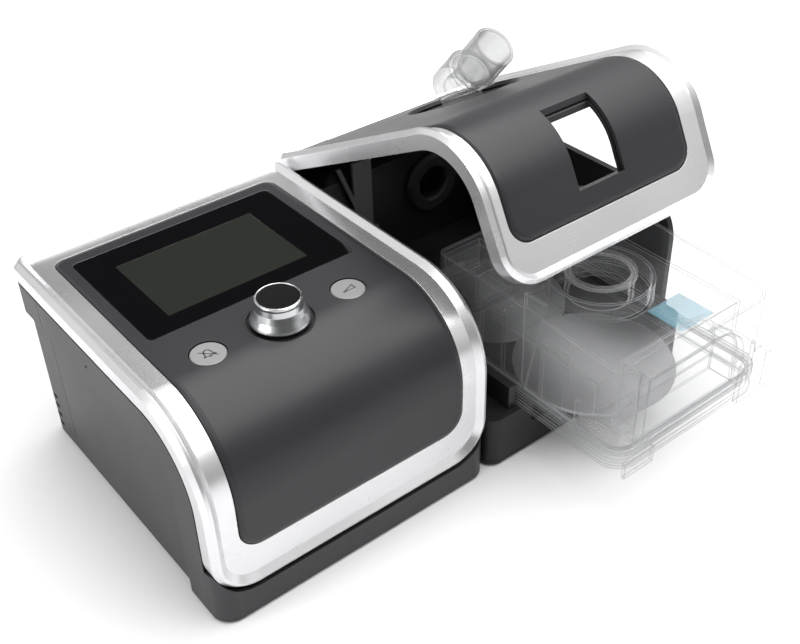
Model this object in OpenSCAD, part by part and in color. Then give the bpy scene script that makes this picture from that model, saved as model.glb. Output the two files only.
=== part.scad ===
// Bedside breathing machine with a heated humidifier docked on its right side.
// Local axes: X to the right from the unit's left face, Y to the rear from its
// front face, Z up from the table. The part's own origin is the bottom centre.

/* [Main unit] */
// Width of the main unit
unit_w = 170; // [160:1:185]
// Depth of the main unit, front face to rear face
unit_d = 191.5; // [186:0.5:200]
// Height of the main unit on its feet
unit_h = 118.5; // [115:1:125]
// Radius of the bend from the top into the front face
bend_r = 49.5; // [40:0.5:55]
// Wall of the plastic shells
wall = 2.4; // [2:0.1:3]
// Height that the rubber feet stand proud of the bottom
foot_h = 1.5; // [1:0.1:3]
// Plan radius of the front vertical corners
front_corner_r = 10.5; // [8:0.5:12]

/* [Bright trim] */
// Depth of the trim's outer wall below the ridge
trim_depth = 11; // [9:0.5:12]
// Width of the trim along the sides
trim_side = 16.5; // [15:0.5:20]
// Width of the trim along the rear
trim_rear = 15.3; // [13:0.1:17]
// Width of the trim across the front
trim_front = 23.5; // [18:0.5:26]
// Height of the trim's lower front edge
trim_low = 17; // [14:0.5:20]
// Plan radius of the trim's rear corners
trim_rear_r = 7.8; // [7.5:0.1:10]
// Radius of the trim's lower front corners
trim_low_r = 24; // [20:1:28]
// Width of the chamfered outer strip
chamfer_w = 3.2; // [2:0.1:4]
// How far the trim's face falls towards the panel
trim_fall = 3; // [1.5:0.1:3.4]

/* [Side walls] */
// Height of the raised band that follows the bend under the trim
side_band = 18.6; // [14:0.2:22]
// Depth of the side field behind the band
side_recess = 3; // [1:0.5:4]
// How far the rear cover reaches forward round each side
rear_wrap = 28.5; // [24:0.5:34]

/* [Control panel] */
// How far the panel's face lies below the trim's ridge
panel_drop = 1.8; // [1:0.1:2.5]
// Thickness of the panel
panel_t = 2.4; // [2:0.1:3]
// Width of the display window
window_w = 121; // [100:0.5:124]
// Distance of the window's middle from the unit's left face
window_x = 84; // [80:0.5:88]
// Distance of the window's front edge behind the knob's axis
window_front = 25.3; // [22:0.1:30]
// Margin between the window's rear edge and the trim
window_rear = 10.2; // [6:0.1:14]
// Width of the visible display
lcd_w = 82.5; // [70:0.5:90]
// Depth of the visible display
lcd_d = 56; // [45:1:58]
// Distance of the knob and buttons from the unit's front
control_y = 55.2; // [55:0.1:60]
// Distance of the knob's axis from the unit's left face
control_x = 81; // [80:0.5:87]
// Distance of each button from the knob's axis
button_pitch = 40.7; // [36:0.1:44]
// Diameter of the round buttons
button_d = 18; // [15:0.5:19]
// Travel of the buttons and of the knob
press_travel = 0.8; // [0.5:0.1:1]
// Diameter of the knob's base
knob_d = 30.6; // [29:0.2:33]
// Diameter of the knob's top
knob_top_d = 23.6; // [22:0.2:26]
// Height of the knob above the panel
knob_h = 14; // [10:0.2:16]

/* [Humidifier] */
// Gap between the main unit and the humidifier
dock_gap = 1.5; // [1:0.1:3]
// Width of the humidifier
hum_w = 157; // [150:1:165]
// Depth of the humidifier
hum_d = 195; // [193:0.5:200]
// Height of the closed lid's ridge
lid_h = 118.8; // [115:0.1:123]
// Bend radius of the lid's front
lid_bend_r = 41; // [36:0.5:46]
// Front face of the closed lid behind the unit's front face
lid_front = 3; // [2:0.5:5]
// Height of the closed lid's lower edge
lid_low = 30.5; // [27:0.5:37]
// Angle that the lid stands open as stored
lid_open = 27.3; // [24:0.1:35]
// Depth of the lid's hinge axis below the lid's ridge
hinge_drop = 5.3; // [4.3:0.1:6.3]
// Radius of the hinge pins
hinge_pin_r = 1.5; // [1.2:0.1:2]
// Height of the heater deck and front sill
deck_z = 33; // [31:0.5:35]
// Wall of the bay's sides
bay_wall = 4; // [3:0.5:5]

/* [Water chamber] */
// Width of the chamber
tank_w = 116; // [110:1:120]
// Gap between the closed chamber's rear and the rear of its bay
tank_back = 11.5; // [10:0.5:14]
// How far the chamber is pulled out as stored
tank_pull = 85.5; // [70:0.5:90]
// Gap between the closed chamber's front and the unit's front plane
tank_set = 15.5; // [15:0.5:17]
// Depth of the chamber's rim below the closed lid's ridge
tank_head = 19.3; // [18:0.1:22]
// Depth of the chamber's top plate below its rim
plate_drop = 21; // [18:0.5:24]
// Wall of the clear mouldings
clear_wall = 1.8; // [1.5:0.1:2.5]
// Diameter of the air port in the chamber's top
port_d = 38; // [34:1:40]

/* [Air path] */
// Bore of the outlet that takes a 22 mm hose connector
hose_bore_d = 22.4; // [22:0.1:23]
// Wall of the outlet elbow
elbow_wall = 1.9; // [1.5:0.1:2.5]
// Length of the outlet arm from the bend
elbow_l = 42; // [40:0.5:60]
// Rise of the outlet arm above the lid's surface
elbow_rise = 24.7; // [22:0.1:30]
// Turn of the outlet arm towards the right as stored
elbow_turn = 7.5; // [0:0.5:20]
// Outer diameter of the rubber seal ring
seal_d = 41; // [38:1:44]
// Bore of the seal ring
seal_bore_d = 22; // [20:1:24]

/* [Hidden] */
$fn = 64;

eps = 0.01;              // overlap of cutting tools past a face
far = 400;               // longer than any side of the object
gap = 0.3;               // clearance between neighbouring pieces
fit = 0.06;              // radial clearance of a turning or sliding fit
base_z = foot_h;         // underside of the shells
hum_x = unit_w + dock_gap;
total_w = hum_x + hum_w;
bay_mid = hum_x + hum_w / 2 + 1.5;
bay_rear = hum_d - 25;                  // front of the rear plenum
tank_l = bay_rear - tank_set - tank_back;
tank_top = lid_h - tank_head;
plate_z = tank_top - plate_drop;        // top plate of the chamber's cover
duct_z = plate_z - 5;                   // height of the chamber's air inlet
tank_front = tank_set - tank_pull;      // front of the chamber as stored
tank_rear = tank_front + tank_l;
handle_reach = 4;                       // handle in front of the chamber's wall
front_reach = tank_front - handle_reach;
row_x = -total_w / 2;
row_y = -(front_reach + hum_d) / 2;
hinge_y = hum_d - 4;
hinge_z = lid_h - hinge_drop;

dark = "dimgray";
silver = "silver";
clear = "lightblue";

// ---------------------------------------------------------------------------
// Placing
module placed() translate([row_x, row_y, 0]) children();

// The lid and its pieces are drawn closed and turned open about the hinge.
module opened() placed()
    translate([0, hinge_y, hinge_z]) rotate([-lid_open, 0, 0])
        translate([0, -hinge_y, -hinge_z]) children();

// ---------------------------------------------------------------------------
// Bent shells. A bent surface runs flat along the top and turns down over a
// bend into a vertical front. s = [left, right, front, rear, top, low, bend
// radius, rear corner radius, low corner radius].
module round_rect(x0, x1, y0, y1, r0, r1) {
    // rounded outline: r0 at the lower corners, r1 at the upper corners
    translate([x0, y0 + r0]) square([x1 - x0, y1 - y0 - r0 - r1]);
    translate([x0 + r0, y0]) square([x1 - x0 - 2 * r0, r0 + eps]);
    translate([x0 + r1, y1 - r1 - eps]) square([x1 - x0 - 2 * r1, r1 + eps]);
    for (x = [x0 + r0, x1 - r0]) translate([x, y0 + r0]) circle(r0);
    for (x = [x0 + r1, x1 - r1]) translate([x, y1 - r1]) circle(r1);
}

// side view of everything below the surface lowered by n
module bent_side(s, n) {
    yc = s[2] + s[6];
    zc = s[4] - s[6];
    translate([s[2] + n, -far]) square([far + s[3], zc + far]);
    translate([yc, -far]) square([far, zc + far + s[6] - n]);
    translate([yc, zc]) circle(s[6] - n, $fn = 128);
}

// solid between the surface lowered by n1 and lowered by n2, inset from the
// outline by side, rear and front
module bent_plate(s, n1, n2, side, rear, front, r_rear, r_low) {
    intersection() {
        translate([s[0] - 1, 0, 0]) rotate([90, 0, 90]) linear_extrude(s[1] - s[0] + 2)
            difference() {
                bent_side(s, n1);
                bent_side(s, n2);
            }
        bent_opening(s, side, rear, front, r_rear, r_low);
    }
}

// prism through the top and the front inside the outline inset by the margins
module bent_opening(s, side, rear, front, r_rear, r_low) {
    intersection() {
        linear_extrude(far)
            round_rect(s[0] + side, s[1] - side, -far, s[3] - rear, 1, r_rear);
        translate([0, far, 0]) rotate([90, 0, 0]) linear_extrude(2 * far)
            round_rect(s[0] + side, s[1] - side, s[5] + front, far, r_low, 1);
    }
}

// sweep of a section along the outline of the bent surface; the section's
// points are [distance inwards from the outline, depth below the surface]
module bent_edge_half(s, p) {
    yc = s[2] + s[6];
    zc = s[4] - s[6];
    rr = s[7];
    rl = s[8];
    mid = (s[0] + s[1]) / 2;
    translate([s[0], s[3] - rr, s[4]]) rotate([90, 0, 0]) linear_extrude(s[3] - rr - yc)
        polygon([for (q = p) [q[0], -q[1]]]);
    translate([s[0], yc, zc]) rotate([0, 90, 0]) rotate([0, 0, 180])
        rotate_extrude(angle = 90, $fn = 128) polygon([for (q = p) [s[6] - q[1], q[0]]]);
    translate([s[0], s[2], s[5] + rl]) linear_extrude(zc - s[5] - rl)
        polygon([for (q = p) [q[0], q[1]]]);
    translate([s[0] + rl, s[2], s[5] + rl]) rotate([90, 0, 0]) rotate([0, 0, 180])
        rotate_extrude(angle = 90) polygon([for (q = p) [rl - q[0], -q[1]]]);
    translate([s[0] + rl, s[2], s[5]]) rotate([90, 0, 90]) linear_extrude(mid - s[0] - rl)
        polygon([for (q = p) [q[1], q[0]]]);
    translate([s[0] + rr, s[3] - rr, s[4]]) rotate([0, 0, 90])
        rotate_extrude(angle = 90) polygon([for (q = p) [rr - q[0], -q[1]]]);
    translate([s[0] + rr, s[3], s[4]]) rotate([90, 0, 90]) linear_extrude(mid - s[0] - rr)
        polygon([for (q = p) [-q[0], -q[1]]]);
}

module bent_edge(s, p) {
    bent_edge_half(s, p);
    translate([s[0] + s[1], 0, 0]) mirror([1, 0, 0]) bent_edge_half(s, p);
}

unit_skin = [0, unit_w, 0, unit_d, unit_h, trim_low, bend_r, trim_rear_r, trim_low_r];
lid_rear = hinge_y + 3;
lid_low_r = 20;
lid_rear_r = 5.2;
lid_skin = [hum_x, total_w, lid_front, lid_rear, lid_h, lid_low, lid_bend_r, lid_rear_r, lid_low_r];

// outer rim of a trim: wall, chamfered strip and the start of the falling face
rim_w = 7.4;
function rim_section(depth, fall) = [
    [0, depth], [0, chamfer_w], [chamfer_w * 0.75, 0.5], [chamfer_w + 0.8, 0],
    [rim_w, fall], [rim_w, fall + wall], [wall, fall + wall], [wall, depth]
];
// raised border of a panel: the edge stands up from below and rolls onto the face
border_w = 3.2;
function border_section(top, bottom) = [
    [0, bottom], [0, top + 1.7], [0.5, top + 1.0], [1.5, top + 0.35],
    [border_w, top], [border_w, bottom]
];

module tube(r1, r0, h) {
    difference() {
        cylinder(r = r1, h = h);
        translate([0, 0, -1]) cylinder(r = r0, h = h + 2);
    }
}

// ---------------------------------------------------------------------------
// Main unit: shells
panel_top = panel_drop;
panel_bottom = panel_drop + panel_t;
chassis_top = trim_fall + wall + 0.5;
panel_z = unit_h - panel_top;             // face of the panel on the flat top
chassis_z = unit_h - chassis_top;
panel_in = [trim_side + gap, trim_rear + gap, trim_front + gap];
panel_rear_r = 7;
panel_low_r = 13;
seam = 1.2;                               // dark joint between the trim and the shells
shell_top = trim_depth + seam;
side_y0 = shell_top;
side_y1 = unit_d - rear_wrap;
side_t = side_recess + wall;
band_low = shell_top + side_band;         // the band's lower edge below the surface
hole_y = unit_d - 82.7;                   // small sensor hole in the left band
hole_z = unit_h - shell_top - 10;
card_x = 50;
inlet_z = 28.5;
dc_x = 28;
dc_r = 2.8;
filter_x = 118;
filter_z = 64.5;
filter_w = 52;
filter_h = 40;
couple_y = unit_d - 49.5;
couple_z = duct_z - 9;
couple_r = 13;
couple_x = unit_w - side_t - 14;          // where the blower's duct meets the coupling
window_y0 = control_y + window_front;     // front edge of the display window
window_y1 = unit_d - trim_rear - window_rear;
lcd_x0 = window_x - lcd_w / 2 - 2;
lcd_y0 = (window_y0 + window_y1 - lcd_d) / 2 - 2;
boss_xy = [for (x = [22, unit_w - 22], y = [26, unit_d - 32]) [x, y]];

// floor, front foot wall and screw bosses
module base_tray() color(dark) placed() {
    difference() {
        union() {
            translate([0, 0, base_z]) linear_extrude(wall)
                round_rect(side_t + gap, unit_w - side_t - gap, wall - eps, unit_d - wall - gap,
                    1, trim_rear_r - wall);
            // front wall, which closes behind the trim's rounded lower corners
            difference() {
                intersection() {
                    translate([0, 0, base_z]) linear_extrude(trim_low + 0.62 * trim_low_r - base_z)
                        difference() {
                            round_rect(0, unit_w, 0, unit_d, front_corner_r, 1);
                            round_rect(wall, unit_w - wall, wall, unit_d - wall, front_corner_r - wall, 1);
                        }
                    cube([unit_w, shell_top - gap, far]);
                }
                translate([0, shell_top + 1, 0]) rotate([90, 0, 0]) linear_extrude(shell_top + 2)
                    round_rect(-gap, unit_w + gap, trim_low - gap, far, trim_low_r, 1);
            }
            for (q = boss_xy) translate([q[0], q[1], base_z]) cylinder(r = 4, h = 8);
        }
        for (q = boss_xy) translate([q[0], q[1], base_z - 1]) cylinder(r = 1.3, h = 10);
        for (q = boss_xy) translate([q[0], q[1], base_z - 1]) cylinder(r = 3.2, h = 2.5);
        // intake slots in the floor under the blower
        for (i = [0:6]) translate([blow_x - 34, blow_y - 22 + 6 * i, base_z - 1])
            cube([50, 2.4, wall + 2]);
    }
}

// one side wall: a raised band follows the bend round a deeper field
module side_wall() intersection() {
    union() {
        rotate([90, 0, 90]) linear_extrude(wall) difference() {
            bent_side(unit_skin, shell_top);
            bent_side(unit_skin, band_low - eps);
        }
        // shoulder between the band and the field
        rotate([90, 0, 90]) linear_extrude(side_t) difference() {
            bent_side(unit_skin, band_low - wall);
            bent_side(unit_skin, band_low);
        }
        translate([side_recess, 0, 0]) rotate([90, 0, 90]) linear_extrude(wall)
            bent_side(unit_skin, band_low - eps);
    }
    translate([-1, side_y0, base_z]) cube([side_t + 2, side_y1 - side_y0, far]);
}

module left_side_cover() color(dark) placed() difference() {
    side_wall();
    translate([-1, hole_y, hole_z]) rotate([0, 90, 0]) cylinder(r = 1, h = wall + 2);
}

module right_side_cover() color(dark) placed() difference() {
    translate([unit_w, 0, 0]) mirror([1, 0, 0]) side_wall();
    translate([unit_w - side_t - 1, couple_y, couple_z]) rotate([0, 90, 0])
        cylinder(r = couple_r + gap, h = side_t + 2);
}

// rear wall with its two rounded corners, vents, inlet and filter opening
vent_pitch = 6.8;
vent_low = 7.3;
vent_h = 2.4;
module rear_ring(low, top, inset) translate([0, 0, low]) linear_extrude(top - low) difference() {
    intersection() {
        round_rect(inset, unit_w - inset, 0, unit_d, 1, trim_rear_r);
        translate([-1, side_y1 + gap]) square([unit_w + 2, far]);
    }
    round_rect(side_t, unit_w - side_t, 0, unit_d - wall, 1, trim_rear_r - wall);
}

module rear_cover() color(dark) placed() difference() {
    union() {
        rear_ring(base_z, unit_h - band_low + eps, side_recess);
        rear_ring(unit_h - band_low, unit_h - shell_top, 0);
        // frame round the filter
        translate([filter_x - filter_w / 2 - 3, unit_d - wall - 6, filter_z - filter_h / 2 - 3])
            cube([filter_w + 6, 6 + eps, filter_h + 6]);
    }
    translate([filter_x - filter_w / 2, unit_d - far, filter_z - filter_h / 2])
        cube([filter_w, 2 * far, filter_h]);
    translate([dc_x, unit_d - 5, inlet_z]) rotate([-90, 0, 0]) cylinder(r = 5.5, h = 10);
    translate([card_x - 14, unit_d - 5, inlet_z - 1.8]) cube([28, 10, 3.6]);
    for (i = [0:3], x = [-1, unit_w - side_t - 2])
        translate([x, unit_d - trim_rear_r - 4.5, vent_low + vent_pitch * i])
            cube([side_t + 3, trim_rear_r + 6, vent_h]);
}

// bent carrier under the panel and trim, with lugs down to the bosses
lcd_z = panel_z - 1.3 - 0.3;
encoder_r = 7;
module top_chassis() color("gray") placed() difference() {
    bent_plate(unit_skin, chassis_top, chassis_top + 2, wall + gap, wall + gap, 3.2,
        trim_rear_r - wall - gap, trim_low_r - 4);
    translate([lcd_x0 - 4, lcd_y0 - 4, chassis_z - 6]) cube([lcd_w + 8, lcd_d + 8, 12]);
    translate([control_x, control_y, chassis_z - 6]) cylinder(r = encoder_r + 0.5, h = 12);
    for (k = [-1, 1]) translate([control_x + k * button_pitch, control_y, chassis_z - 6])
        cylinder(r = 3, h = 12);
}

// bright frame bent over the top, the sides and the front
module main_trim() color(silver) placed() difference() {
    union() {
        bent_edge(unit_skin, rim_section(trim_depth, trim_fall));
        bent_plate(unit_skin, trim_fall, trim_fall + wall, rim_w - eps, rim_w - eps, rim_w - eps,
            trim_rear_r - rim_w, trim_low_r - rim_w);
    }
    bent_opening(unit_skin, trim_side, trim_rear, trim_front, panel_rear_r, panel_low_r);
}

knob_moat = 1.6;                          // width of the round recess outside the knob
module window_outline(extra) round_rect(window_x - window_w / 2 - extra, window_x + window_w / 2 + extra,
    window_y0 - extra, window_y1 + extra, 3 + extra, 3 + extra);
module panel_skin_holes() {
    translate([0, 0, panel_z - 1.3]) linear_extrude(5) window_outline(gap / 2);
    translate([lcd_x0 - 1, lcd_y0 - 1, panel_z - 9]) cube([lcd_w + 2, lcd_d + 2, 12]);
    translate([control_x, control_y, panel_z - 1.2]) cylinder(r = knob_d / 2 + knob_moat, h = 5);
    translate([control_x, control_y, panel_z - 9]) cylinder(r = encoder_r + 0.5, h = 12);
    for (k = [-1, 1]) translate([control_x + k * button_pitch, control_y, panel_z - 9])
        cylinder(r = button_d / 2 + 0.35, h = 12);
}

panel_skin = [panel_in[0], unit_w - panel_in[0], 0, unit_d - panel_in[1], unit_h,
    trim_low + panel_in[2], bend_r, panel_rear_r - gap, panel_low_r - gap];
module control_panel() color("darkslategray") placed() difference() {
    union() {
        bent_edge(panel_skin, border_section(panel_top, panel_bottom));
        bent_plate(panel_skin, panel_top, panel_bottom, border_w - eps, border_w - eps,
            border_w - eps, panel_rear_r - gap - border_w, panel_low_r - gap - border_w);
    }
    panel_skin_holes();
}

module display_window() color("black") placed()
    translate([0, 0, panel_z - 1.3 + 0.05]) linear_extrude(1.25) window_outline(0);

module lcd_module() color("darkolivegreen") placed()
    translate([lcd_x0, lcd_y0, lcd_z - 4.5]) cube([lcd_w, lcd_d, 4.5 + 0.25]);

board_z = chassis_z - 8.5;
board_side = 22;                          // margins of the board inside the unit
board_front = 44;
board_rear = 25.5;
module main_board() color("darkgreen") placed() {
    difference() {
        translate([board_side, board_front, board_z - 1.6])
            cube([unit_w - 2 * board_side, unit_d - board_front - board_rear, 1.6]);
        translate([control_x, control_y, board_z - 3]) cylinder(r = 2, h = 4);
    }
    // posts that hang the board from the carrier
    for (x = [board_side + 4, unit_w - board_side - 4], y = [board_front + 28, unit_d - board_rear - 4])
        translate([x, y, board_z]) cylinder(r = 2.5, h = 8.5 - 2 - gap);
}

// ---------------------------------------------------------------------------
// Main unit: controls
spindle_r = 3;
knob_z = panel_z - 1.2 + 0.5;              // underside of the knob's skirt
knob_lip = 1.2;                            // bright ring round the cap
cap_deep = 2;
module knob_skirt() color(silver) placed() translate([control_x, control_y, knob_z + press_travel])
    rotate_extrude() {
        difference() {
            polygon([[spindle_r - 0.04, 3], [knob_d / 2 - 1.2, 0], [knob_d / 2 - 0.3, 0.4], [knob_d / 2, 1.3],
                [knob_d / 2 - 0.4, 2.4], [knob_top_d / 2 + 1.5, 5.4], [knob_top_d / 2 + 0.2, 8.6],
                [knob_top_d / 2 - 0.3, knob_h - 2.4], [knob_top_d / 2, knob_h - 1.4],
                [knob_top_d / 2 - 0.1, knob_h - 0.6], [knob_top_d / 2 - 0.8, knob_h],
                [knob_top_d / 2 - knob_lip, knob_h - 0.2],
                [knob_top_d / 2 - knob_lip, knob_h - cap_deep], [spindle_r - 0.04, knob_h - cap_deep]]);
            translate([4, -1]) square([knob_d / 2 - 7, 5]);
        }
    }

module knob_cap() color("black") placed()
    translate([control_x, control_y, knob_z + press_travel + knob_h - cap_deep])
        rotate_extrude() polygon([[0, 0.02], [knob_top_d / 2 - knob_lip - 0.1, 0.02],
            [knob_top_d / 2 - knob_lip - 0.1, 1.6], [knob_top_d / 2 - knob_lip - 1, 1.4], [0, 1.2]]);

module encoder_spindle() color("gainsboro") placed()
    translate([control_x, control_y, board_z + 2.4])
        cylinder(r = spindle_r - 0.04, h = knob_z + press_travel + knob_h - cap_deep - board_z - 2.4);

// collar that slides in the bushing and carries the turning spindle
module encoder_plunger() color("goldenrod") placed()
    translate([control_x, control_y, board_z + 2.4])
        difference() {
            cylinder(r = 4.5, h = 5);
            translate([0, 0, -1]) cylinder(r = spindle_r + 0.02, h = 7);
        }

module encoder_body() color("gray") placed()
    translate([control_x, control_y, board_z + gap]) difference() {
        union() {
            translate([-6.5, -6.5, 0]) cube([13, 13, 5.5]);
            cylinder(r = 5.6, h = 10);
        }
        translate([0, 0, 1.2]) cylinder(r = 4.5 + fit, h = 12);
    }

button_set = 0.3;                         // caps lie just below the panel's face
module button_cap(k) color(silver) placed() {
    x = control_x + k * button_pitch;
    translate([x, control_y, panel_z - button_set - 2.6]) rotate_extrude()
        polygon([[0, 1], [button_d / 2 - 1.6, 1], [button_d / 2 - 1.6, 0], [button_d / 2, 0],
            [button_d / 2, 2.1], [button_d / 2 - 0.5, 2.6], [0, 2.6]]);
    translate([x, control_y, board_z + 3.2 + press_travel])
        cylinder(r = 2.4, h = panel_z - button_set - 1 - board_z - 3.2 - press_travel);
}
module mute_button() button_cap(-1);
module ramp_button() button_cap(1);

module button_switches() color("black") placed() for (k = [-1, 1])
    translate([control_x + k * button_pitch, control_y, board_z]) {
        translate([-3, -3, 0]) cube([6, 6, 2.2]);
        cylinder(r = 1.7, h = 2.9);
    }

// ---------------------------------------------------------------------------
// Main unit: blower and inlets
blow_x = 88;
blow_y = couple_y - 24;
blow_z = base_z + wall + 6;
blow_r = 36;
blow_h = 40;
blow_duct_h = couple_z + couple_r + wall - blow_z;
module blower_housing() color("whitesmoke") placed() difference() {
    union() {
        translate([blow_x, blow_y, blow_z]) cylinder(r = blow_r, h = blow_h);
        translate([blow_x, couple_y - couple_r - 2, blow_z])
            cube([couple_x - blow_x, 2 * couple_r + 4, blow_duct_h]);
        // rubber mounted feet
        for (a = [30, 150, 270])
            translate([blow_x + (blow_r - 5) * cos(a), blow_y + (blow_r - 5) * sin(a), base_z + wall + gap])
                cylinder(r = 3.5, h = 7);
    }
    translate([blow_x, blow_y, blow_z + 12]) cylinder(r = blow_r - wall, h = blow_h);
    translate([blow_x + 12, couple_y - couple_r, blow_z + 14])
        cube([couple_x - blow_x - 12 - wall, 2 * couple_r, blow_duct_h - 14 - wall]);
    translate([blow_x, blow_y, blow_z + 2]) cylinder(r = 14.2, h = 20);
    translate([couple_x - 8, couple_y, couple_z]) rotate([0, 90, 0]) cylinder(r = couple_r - 3, h = 20);
}

module blower_cap() color("gainsboro") placed() difference() {
    intersection() {
        translate([blow_x, blow_y, blow_z + blow_h]) cylinder(r = blow_r, h = 3);
        cube([far, couple_y - couple_r - 2 - gap, far]);
    }
    translate([blow_x, blow_y, blow_z + blow_h - 1]) cylinder(r = 12, h = 6);
}

module impeller() color("white") placed() translate([blow_x, blow_y, blow_z + 16]) {
    difference() {
        union() {
            cylinder(r = 28, h = 1.6);
            cylinder(r = 7, h = 9);
            for (a = [0:30:330]) rotate([0, 0, a]) translate([6, -0.6, 0]) cube([21.5, 1.2, 11]);
        }
        translate([0, 0, -1]) cylinder(r = 1.5, h = 6);
    }
    translate([0, 0, -12.5]) cylinder(r = 1.5, h = 16);
}

module motor_stator() color("peru") placed() translate([blow_x, blow_y, blow_z + 2]) difference() {
    cylinder(r = 14, h = 12.5);
    translate([0, 0, 1]) cylinder(r = 1.5 + fit, h = 14);
}

module inlet_filter() color("lightgray") placed()
    translate([filter_x - filter_w / 2 + gap, unit_d - wall - 5.5, filter_z - filter_h / 2 + gap])
        cube([filter_w - 2 * gap, 5, filter_h - 2 * gap]);

module filter_cover() color("dimgray") placed() difference() {
    translate([filter_x - filter_w / 2 + gap, unit_d - wall + 0.2, filter_z - filter_h / 2 + gap])
        cube([filter_w - 2 * gap, wall - 0.2, filter_h - 2 * gap]);
    for (i = [0:6])
        translate([filter_x - filter_w / 2 + 5, unit_d - 5, filter_z - filter_h / 2 + 5 + 4.5 * i])
            cube([filter_w - 10, 8, 2.2]);
}

module dc_socket() color("black") placed() translate([dc_x, unit_d - 12, inlet_z]) {
    difference() {
        union() {
            rotate([-90, 0, 0]) cylinder(r = 5.2, h = 11.4);
            translate([-6, -2, -6]) cube([12, 11, 12]);
        }
        translate([0, 1, 0]) rotate([-90, 0, 0]) cylinder(r = dc_r, h = 20);
    }
    rotate([-90, 0, 0]) cylinder(r = 1, h = 10);
}

module card_reader() color("darkgray") placed() difference() {
    translate([card_x - 14.5, unit_d - wall - 25, inlet_z - 3]) cube([29, 25 - gap, 6]);
    translate([card_x - 12.2, unit_d - wall - 23, inlet_z - 1.2]) cube([24.4, 40, 2.4]);
}

module air_coupling() color("black") placed() difference() {
    union() {
        translate([couple_x + gap, couple_y, couple_z]) rotate([0, 90, 0])
            cylinder(r = couple_r, h = couple_end - couple_x - gap);
        translate([couple_x + 10, couple_y, couple_z]) rotate([0, 90, 0]) cylinder(r = couple_r + 2, h = 3.6);
    }
    translate([couple_x - 1, couple_y, couple_z]) rotate([0, 90, 0])
        cylinder(r = couple_r - 3, h = couple_end - couple_x + 2);
}

unit_feet_xy = [for (x = [16, unit_w - 16], y = [14, unit_d - 18]) [x, y]];
module unit_feet() color("black") placed() for (q = unit_feet_xy)
    translate([q[0], q[1], 0]) cylinder(r = 6, h = foot_h);

module unit_screws() color("silver") placed() for (q = boss_xy) translate([q[0], q[1], base_z + 0.1]) {
    cylinder(r = 2.8, h = 1.3);
    cylinder(r = 1.3, h = 7.6);
}

// ---------------------------------------------------------------------------
// Humidifier: base and bay
lid_under = trim_depth + 1.1;            // bay walls end this far below the lid's ridge
bay_x0 = hum_x + bay_wall;
bay_x1 = total_w - bay_wall;
couple_end = bay_x0 + 6;                 // end of the air coupling inside the bay
heater_r = 45;
heater_y = tank_set + tank_l / 2;
duct_x = bay_mid + 19.5;                 // axis of the chamber's air inlet
tab_x0 = bay_mid - 48;
tab_w = 26;
tab_low = deck_z - 9.5;
knuckle_w = 8;
knuckle_r = 3.2;
hinge_xs = [hum_x + 26, total_w - 26];

module humidifier_base() color("dimgray") placed() difference() {
    union() {
        // box below the deck
        translate([0, 0, base_z + wall + gap]) linear_extrude(deck_z - base_z - wall - gap)
            round_rect(hum_x, total_w, 0, hum_d, 8, 8);
        // side walls that follow the closed lid
        for (x = [hum_x, total_w - bay_wall]) intersection() {
            translate([x, 0, 0]) rotate([90, 0, 90]) linear_extrude(bay_wall)
                bent_side(lid_skin, lid_under);
            translate([hum_x, 0, deck_z - 4]) linear_extrude(far)
                round_rect(0, hum_w, 0, hum_d, 8, 8);
        }
        // rear wall
        intersection() {
            translate([hum_x, hum_d - wall - 2, deck_z - 4])
                cube([hum_w, wall + 2, lid_h - lid_under - deck_z + 4]);
            translate([hum_x, 0, 0]) linear_extrude(far) round_rect(0, hum_w, 0, hum_d, 8, 8);
        }
        // hinge ears on the rear wall
        for (x = hinge_xs) {
            translate([x - knuckle_w / 2, hinge_y, hinge_z]) rotate([0, 90, 0])
                cylinder(r = knuckle_r, h = knuckle_w);
            translate([x - knuckle_w / 2, hinge_y - knuckle_r, lid_h - lid_under - 1])
                cube([knuckle_w, 2 * knuckle_r, hinge_z - lid_h + lid_under + 1]);
        }
    }
    // hollow below the deck
    translate([hum_x + 3, 3, base_z]) cube([hum_w - 6, hum_d - 6, deck_z - base_z - 3]);
    // heater opening
    translate([bay_mid, heater_y, deck_z - 6]) cylinder(r = heater_r + gap, h = 12);
    // notch for the tab under the chamber's front
    translate([tab_x0 - 1, -1, tab_low - 4]) cube([tab_w + 2, 22, far]);
    // air coupling from the main unit
    translate([hum_x - 1, couple_y, couple_z]) rotate([0, 90, 0])
        cylinder(r = couple_r + gap, h = bay_wall + 2);
    // hinge bores
    for (x = hinge_xs) translate([x - 10, hinge_y, hinge_z]) rotate([0, 90, 0])
        cylinder(r = hinge_pin_r + 0.02, h = 20);
    // drain and cooling slots in the rear wall
    for (i = [0:5]) translate([hum_x + 60 + 7 * i, hum_d - 10, 40]) cube([2.4, 20, 24]);
}

module humidifier_bottom() color("dimgray") placed() difference() {
    translate([0, 0, base_z]) linear_extrude(wall) round_rect(hum_x, total_w, 0, hum_d, 8, 8);
    for (q = hum_screw_xy) translate([q[0], q[1], base_z - 1]) cylinder(r = 1.4, h = 10);
    for (q = hum_screw_xy) translate([q[0], q[1], base_z - 1]) cylinder(r = 3.2, h = 2.2);
}

hum_screw_xy = [for (x = [hum_x + 26, total_w - 26], y = [24, hum_d - 28]) [x, y]];
hum_feet_xy = [for (x = [hum_x + 14, total_w - 14], y = [14, hum_d - 18]) [x, y]];
module humidifier_feet() color("black") placed() for (q = hum_feet_xy)
    translate([q[0], q[1], 0]) cylinder(r = 6, h = foot_h);

module humidifier_screws() color("silver") placed() for (q = hum_screw_xy)
    translate([q[0], q[1], base_z + 0.1]) {
        cylinder(r = 2.8, h = 1.1);
        cylinder(r = 1.4 - 0.02, h = 6);
    }

module heater_plate() color("silver") placed() translate([bay_mid, heater_y, deck_z - 3 + 0.2])
    cylinder(r = heater_r, h = 3.2);

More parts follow.
